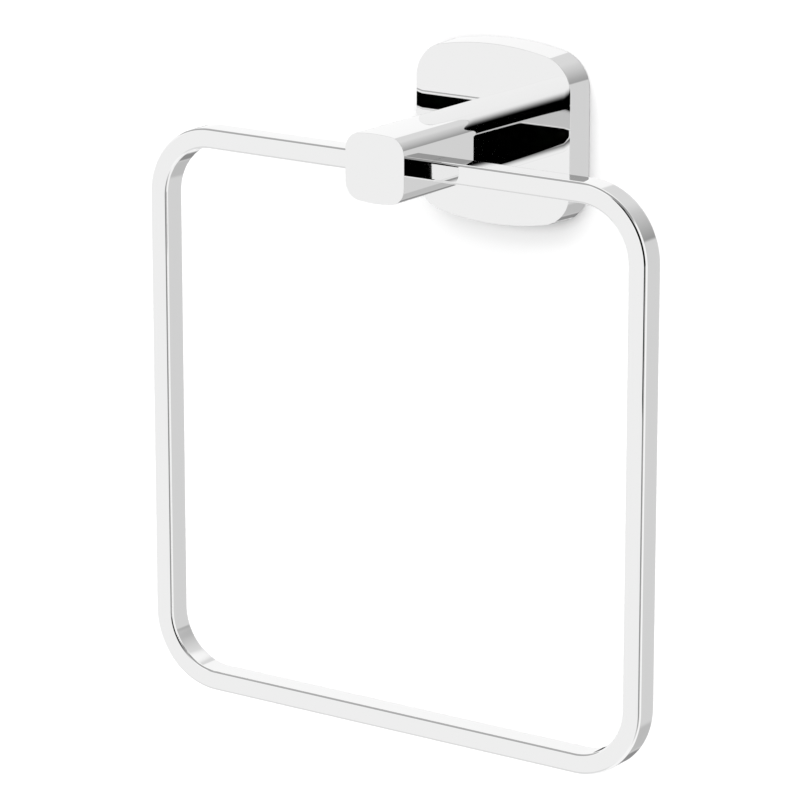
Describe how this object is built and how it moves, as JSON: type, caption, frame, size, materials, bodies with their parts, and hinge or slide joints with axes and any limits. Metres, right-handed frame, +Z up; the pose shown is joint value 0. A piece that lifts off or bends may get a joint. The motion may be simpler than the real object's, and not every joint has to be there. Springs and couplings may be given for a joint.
{
  "type": "towel ring",
  "caption": "Square chrome towel ring held fixed in the slot of a soft-square post, on a bowed cover plate that hooks over a hidden wall bracket.",
  "frame": {"origin": "on the wall's face, on the axis of the post and the middle of the cover plate", "axes": "+X to the right as seen from the room, +Y into the wall, +Z up"},
  "size_m": [0.1999, 0.08, 0.23],
  "materials": {
    "polished_chrome": "mirror-bright chrome plating",
    "cast_zinc": "raw die casting, dull grey",
    "zinc_plated_steel": "bright zinc plating on turned steel",
    "hardened_steel": "ground bare steel"
  },
  "bodies": {
    "root": {"cover_plate": "polished_chrome", "support_post": "polished_chrome", "square_ring": "polished_chrome", "wall_bracket": "cast_zinc", "post_fixing_screw": "zinc_plated_steel", "post_lock_washer": "zinc_plated_steel", "post_dowels": "hardened_steel", "ring_grub_screws": "zinc_plated_steel", "cover_grub_screw": "zinc_plated_steel"}
  },
  "joints": []
}
